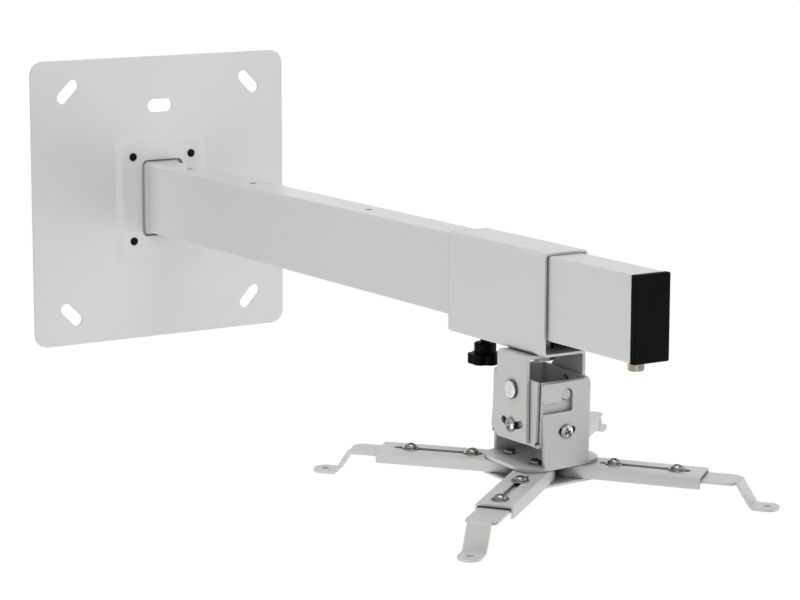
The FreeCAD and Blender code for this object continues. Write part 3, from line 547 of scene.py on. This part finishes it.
TILT_PIN, TILT_PIN_HEAD, TILT_PIN_HEIGHT, TILT_PIN_DEPTH = 8 * MM, 13.6 * MM, 3 * MM, 10.5 * MM
ROLL_PIN, ROLL_PIN_ROUND, ROLL_PIN_DEPTH = 9.2 * MM, 1.1 * MM, 3.7 * MM
RIVET, RIVET_HEIGHT, PIN_STEP = 11 * MM, 1.8 * MM, 0.5 * MM


def pins(name, node, frame_of_node, along, rings, **options):
    """A pin on each side of the head, from its outer face at z = 0 inwards."""
    low, high = local_box(node, frame_of_node)
    parts = []
    for side in (-1, 1):
        at = frame_of_node @ side_spot((low + high) / 2, along, side, high[along])
        parts.append((lathe(fine(rings, PIN_STEP)), at))
    piece(name, parts, node, **options)


def tilt_pins():
    """Thick round heads with a rounded edge, each on a shank with a riveted end."""
    reach, edge = TILT_PIN_HEAD / 2, 0.45 * MM
    rivet_top = RIVET_HEIGHT - TILT_PIN_DEPTH
    rings = [(0.02 * reach, 0), (reach - 2.2 * edge, 0), (reach - 1.1 * edge, -0.25 * edge),
             (reach - 0.2 * edge, -edge), (reach, -1.6 * edge), (reach, -TILT_PIN_HEIGHT),
             (TILT_PIN / 2, -TILT_PIN_HEIGHT), (TILT_PIN / 2, rivet_top),
             (RIVET / 2, rivet_top), (RIVET / 2, -TILT_PIN_DEPTH)]
    # The rims take the darker zinc: painted shade round each pin head.
    pins("round_pins", "tilt_pins", axes(CENTRE, tilt_axis, (0, 0, 1)), 0, rings,
         rim=zinc_painted_shade, axis=tilt_axis)


def roll_pins():
    """Plain pins with a well rounded end, riveted inside the folded box."""
    reach, edge = ROLL_PIN / 2, ROLL_PIN_ROUND
    rings = [(0.02 * reach, 0), (reach - edge, 0), (reach - 0.55 * edge, -0.15 * edge),
             (reach - 0.2 * edge, -0.5 * edge), (reach, -1.2 * edge), (reach, -ROLL_PIN_DEPTH),
             (RIVET / 2, -ROLL_PIN_DEPTH), (RIVET / 2, -ROLL_PIN_DEPTH - RIVET_HEIGHT)]
    # The rounded ends take the darker zinc: painted shade round each pin in its slot.
    pins("hook_pins", "roll_pins", TILT, 1, rings, rim=zinc_painted_shade, axis=roll_axis)


# Screws of the strips: a thin flange under a dome with a cross recess

FLANGE, FLANGE_HEIGHT, DOME, DOME_HEIGHT = 13 * MM, 1.0 * MM, 9.5 * MM, 3.9 * MM
STRIP_NUT, STRIP_NUT_HEIGHT = 8 * MM, 3 * MM


def strip_screws(arm, turns):
    """An arm's two screws and their nuts, turned as they were left."""
    node = "strip_screws_" + arm
    around = arm_frame(arm)
    low, high = local_box(node, around)
    seat = high.z - DOME_HEIGHT
    flange = [(0.5 * DOME, FLANGE_HEIGHT), (0.46 * FLANGE, FLANGE_HEIGHT),
              (0.49 * FLANGE, 0.8 * FLANGE_HEIGHT), (0.5 * FLANGE, 0.5 * FLANGE_HEIGHT),
              (0.5 * FLANGE, 0), (0.2 * FLANGE, 0)]
    head = dome(DOME / 2, DOME_HEIGHT, edge=1.35 * FLANGE_HEIGHT, rim=0.9 * FLANGE_HEIGHT)
    carve = cross_recess(reach=2.5 * MM, half_width=0.6 * MM, depth=2.0 * MM)
    parts = []
    for x, turn in zip((low.x + FLANGE / 2, high.x - FLANGE / 2), turns):
        at = around @ spot(x, 0, seat) @ spin(turn)
        parts += [(lathe(flange), at), (recessed_head(head, carve), at),
                  (thread(M5, low.z - seat, ROOT, M5_PITCH), at)]
    piece("dome_screws_" + arm, parts, node)
    nuts = "strip_nuts_" + arm
    low, high = local_box(nuts, around)
    reach = STRIP_NUT / math.sqrt(3)
    parts = [(chamfered_nut(STRIP_NUT, STRIP_NUT_HEIGHT, NUT_BORE * M5),
              around @ spot(x, 0, low.z) @ spin(turn / 2))
             for x, turn in zip((low.x + reach, high.x - reach), turns)]
    piece("hex_nuts_" + arm, parts, nuts)


# Screws and nuts on which the arms turn

PIVOT_HEAD, PIVOT_HEIGHT, PIVOT_NUT, PIVOT_NUT_HEIGHT = 10 * MM, 3.3 * MM, 10 * MM, 4 * MM


def pivot_fasteners():
    """Low round heads with a hexagon socket on the hub, and their nuts below it."""
    node = "arm_pivot_screws"
    low, high = local_box(node, HUB)
    seat = high.z - PIVOT_HEIGHT
    places = [HUB.inverted() @ Vector(JOINTS["swing_" + arm]["pos_m"]) for arm in ARMS]
    head = dome(PIVOT_HEAD / 2, PIVOT_HEIGHT, edge=0.35 * PIVOT_HEIGHT)
    carve = hex_recess(across=4 * MM, depth=2.1 * MM)
    parts = []
    for place, turn in zip(places, (10, 35, 50, 25)):
        at = HUB @ spot(place.x, place.y, seat) @ spin(turn)
        parts += [(recessed_head(head, carve), at), (thread(M6, low.z - seat, 0, M6_PITCH), at)]
    piece("hub_screws", parts, node)
    low, high = local_box("arm_pivot_nuts", HUB)
    parts = [(chamfered_nut(PIVOT_NUT, PIVOT_NUT_HEIGHT, NUT_BORE * M6),
              HUB @ spot(place.x, place.y, low.z) @ spin(turn))
             for place, turn in zip(places, (5, 20, 40, 55))]
    piece("hub_nuts", parts, "arm_pivot_nuts")


# Stop bolt, clamp stud and the screws between plate and flange

STOP_HEAD, STOP_HEIGHT, RIBS, RIB_DEPTH = 11.8 * MM, 8.1 * MM, 40, 0.3 * MM
FLANGE_SCREW_HEAD, FLANGE_SCREW_HEIGHT, FLANGE_SCREW_CHAMFER = 10 * MM, 1.5 * MM, 0.2 * MM
FLANGE_SCREW_END, FLANGE_SCREW_PROUD, FLANGE_SCREW_ROUND = 7 * MM, 0.3 * MM, 48


def stop_bolt():
    """A cylinder-head screw with a ribbed side and a hexagon socket, head down."""
    low, high = map(Vector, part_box("stop_bolt"))
    reach = STOP_HEAD / 2

    def ribbed(size, angle):
        if size < 0.93 * reach:
            return size
        return size - RIB_DEPTH * abs(math.sin(RIBS / 2 * angle))

    rings = [(0.02, 1), (0.5, 1), (0.86, 1), (0.92, 0.97), (1, 0.9), (1, 0.16),
             (0.92, 0.1), (0.92, 0), (0.4, 0)]
    rings = [(size * reach, height * STOP_HEIGHT) for size, height in rings]
    socket = hex_recess(across=5 * MM, depth=4 * MM)
    at = spot((low.x + high.x) / 2, (low.y + high.y) / 2, low.z + STOP_HEIGHT, (0, 0, -1))
    tail = high.z - low.z - STOP_HEIGHT
    parts = [(lathe(fine(rings, 0.4 * MM), RIBS * 6, socket, ribbed), at),
             (thread(M6, -tail, ROOT, M6_PITCH), at)]
    piece("socket_screw", parts, "stop_bolt")


def flange_screws():
    """Black screws through the pressed middle, their round ends just proud of it."""
    low, high = map(Vector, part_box("flange_screws"))
    head, end, shank = FLANGE_SCREW_HEAD / 2, FLANGE_SCREW_END / 2, M6 / 2
    across, up, depth = high.x - head, high.z - head, high.y - low.y
    rings = [(0.02 * end, 0), (0.5 * end, 0), (0.8 * end, -0.1 * MM), (0.95 * end, -0.3 * MM),
             (end, -0.6 * MM), (end, -1.1 * MM), (shank, -1.1 * MM),
             (shank, FLANGE_SCREW_HEIGHT - depth), (head, FLANGE_SCREW_HEIGHT - depth),
             (head, FLANGE_SCREW_CHAMFER - depth), (head - FLANGE_SCREW_CHAMFER, -depth)]
    parts = []
    for side in (-1, 1):
        for level in (-1, 1):
            at = spot(side * across, low.y - FLANGE_SCREW_PROUD, level * up, (0, -1, 0))
            parts.append((lathe(rings, FLANGE_SCREW_ROUND), at))
    piece("black_screws", parts, "flange_screws")


def clamp_stud():
    """The knob's stud, threaded all along."""
    low, high = map(Vector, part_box("clamp_stud"))
    at = spot((low.x + high.x) / 2, (low.y + high.y) / 2, low.z)
    stud = thread(high.x - low.x, 0, high.z - low.z, STUD_PITCH, STUD_ROUND)
    piece("threaded_stud", [(stud, at)], "clamp_stud")


tilt_pins()
roll_pins()
lock_screws("tilt_lock_screws", 0)
lock_screws("roll_lock_screws", 1)
for arm, turns in zip(ARMS, ((15, 50), (70, 25), (40, 5), (30, 60))):
    strip_screws(arm, turns)
pivot_fasteners()
stop_bolt()
clamp_stud()
flange_screws()


# Floor, light and camera

FLOOR_LEVEL, FLOOR_HALF = -1.5, 15
FLOOR_GLOW, FLOOR_SHADE = 0.972, 0.14


def seen_directly(tree):
    """1 for camera, mirror and glass rays, which should find the studio white."""
    paths = tree.nodes.new("ShaderNodeLightPath")
    most = paths.outputs["Is Camera Ray"]
    for name in ("Is Glossy Ray", "Is Transmission Ray"):
        join = tree.nodes.new("ShaderNodeMath")
        join.operation = "MAXIMUM"
        tree.links.new(most, join.inputs[0])
        tree.links.new(paths.outputs[name], join.inputs[1])
        most = join.outputs["Value"]
    return most


def floor():
    """A pale floor: the camera and reflections see it white, with a soft shadow on it."""
    mesh = bpy.data.meshes.new("floor")
    corners = [(x * FLOOR_HALF, y * FLOOR_HALF, FLOOR_LEVEL)
               for x, y in ((-1, -1), (1, -1), (1, 1), (-1, 1))]
    mesh.from_pydata(corners, [], [(0, 1, 2, 3)])
    plane = bpy.data.objects.new("floor", mesh)
    bpy.context.scene.collection.objects.link(plane)
    tree, principled, material = shader("floor", (0.8, 0.8, 0.8), 0.9)
    glow = tree.nodes.new("ShaderNodeEmission")
    glow.inputs["Color"].default_value = (1, 1, 1, 1)
    glow.inputs["Strength"].default_value = FLOOR_GLOW
    faint = tree.nodes.new("ShaderNodeBsdfDiffuse")
    faint.inputs["Color"].default_value = (FLOOR_SHADE, FLOOR_SHADE, FLOOR_SHADE, 1)
    both = tree.nodes.new("ShaderNodeAddShader")
    tree.links.new(glow.outputs["Emission"], both.inputs[0])
    tree.links.new(faint.outputs["BSDF"], both.inputs[1])
    choice = tree.nodes.new("ShaderNodeMixShader")
    tree.links.new(seen_directly(tree), choice.inputs["Fac"])
    tree.links.new(principled.outputs["BSDF"], choice.inputs[1])
    tree.links.new(both.outputs["Shader"], choice.inputs[2])
    tree.links.new(choice.outputs["Shader"], tree.nodes["Material Output"].inputs["Surface"])
    mesh.materials.append(material)


SKY = 0.2


def world():
    """An even studio sky, plain white to the camera and to mirrors."""
    sky = bpy.data.worlds.new("studio")
    bpy.context.scene.world = sky
    sky.use_nodes = True
    tree = sky.node_tree
    background = tree.nodes["Background"]
    background.inputs["Color"].default_value = (1, 1, 1, 1)
    background.inputs["Strength"].default_value = SKY
    white = tree.nodes.new("ShaderNodeBackground")
    white.inputs["Color"].default_value = (1, 1, 1, 1)
    white.inputs["Strength"].default_value = 1.0
    choice = tree.nodes.new("ShaderNodeMixShader")
    tree.links.new(seen_directly(tree), choice.inputs["Fac"])
    tree.links.new(background.outputs["Background"], choice.inputs[1])
    tree.links.new(white.outputs["Background"], choice.inputs[2])
    tree.links.new(choice.outputs["Shader"], tree.nodes["World Output"].inputs["Surface"])


# Each lamp's name, place, size in metres and power in watts
LAMPS = [
    ("front", (-0.9, -3.0, 0.9), 2.6, 22.5),
    ("top", (0.0, -0.5, 2.3), 1.6, 30.5),
    ("right", (2.2, -1.7, 0.3), 3.0, 25.5),
    ("right_low", (1.6, -1.6, -0.8), 1.4, 11),
    ("left_low", (-2.2, -0.1, -0.8), 1.2, 15.5),
    ("plate", (-1.3, -0.75, -0.3), 0.8, 3),
    ("plate_low", (-0.9, -1.0, -0.8), 0.6, 2),
    ("back", (0.6, 3.0, 0.6), 2.4, 15),
]
MIDDLE = Vector((0, -0.4, 0))


def lamp(name, place, size, power):
    """A soft square lamp that looks at the middle of the object."""
    data = bpy.data.lights.new(name, "AREA")
    data.shape = "SQUARE"
    data.size = size
    data.energy = power
    lamp_object = bpy.data.objects.new(name, data)
    bpy.context.scene.collection.objects.link(lamp_object)
    lamp_object.location = Vector(place)
    lamp_object.rotation_mode = "QUATERNION"
    lamp_object.rotation_quaternion = (MIDDLE - Vector(place)).to_track_quat("-Z", "Y")


# The photograph's camera, from a fit to the plate's, the tube's and the sleeve's corners: its
# turn, rise and roll in degrees, where the part's origin lies in its view in metres, and its
# focal length in pixels of a picture of that width
CAMERA_ANGLES = (-33.016, 10.092, -0.148)
ORIGIN_RIGHT, ORIGIN_UP, ORIGIN_AWAY = -0.213742, 0.092298, 2.482306
FOCAL_LENGTH, PICTURE_WIDTH, SENSOR_WIDTH = 2789.963, 800, 36


def camera():
    """Looks at the object as the photograph does."""
    turn, rise, roll = map(math.radians, CAMERA_ANGLES)
    back = Vector((math.sin(turn) * math.cos(rise), -math.cos(turn) * math.cos(rise),
                   math.sin(rise)))
    level = Vector((math.cos(turn), math.sin(turn), 0))
    upright = back.cross(level)
    right = math.cos(roll) * level - math.sin(roll) * upright
    up = math.sin(roll) * level + math.cos(roll) * upright
    data = bpy.data.cameras.new("camera")
    data.sensor_width = SENSOR_WIDTH
    data.lens = FOCAL_LENGTH / PICTURE_WIDTH * SENSOR_WIDTH
    data.clip_end = 100
    view = bpy.data.objects.new("camera", data)
    bpy.context.scene.collection.objects.link(view)
    place = back * ORIGIN_AWAY - right * ORIGIN_RIGHT - up * ORIGIN_UP
    turned = Matrix((right, up, back)).transposed().to_4x4()
    view.matrix_world = Matrix.Translation(place) @ turned
    bpy.context.scene.camera = view


floor()
world()
for name, place, size, power in LAMPS:
    lamp(name, place, size, power)
camera()
bpy.context.scene.view_settings.view_transform = "Standard"

for name in NODES:
    if slots[name] in ("satin_white", "warm_grey"):
        ease_edges(NODES[name])
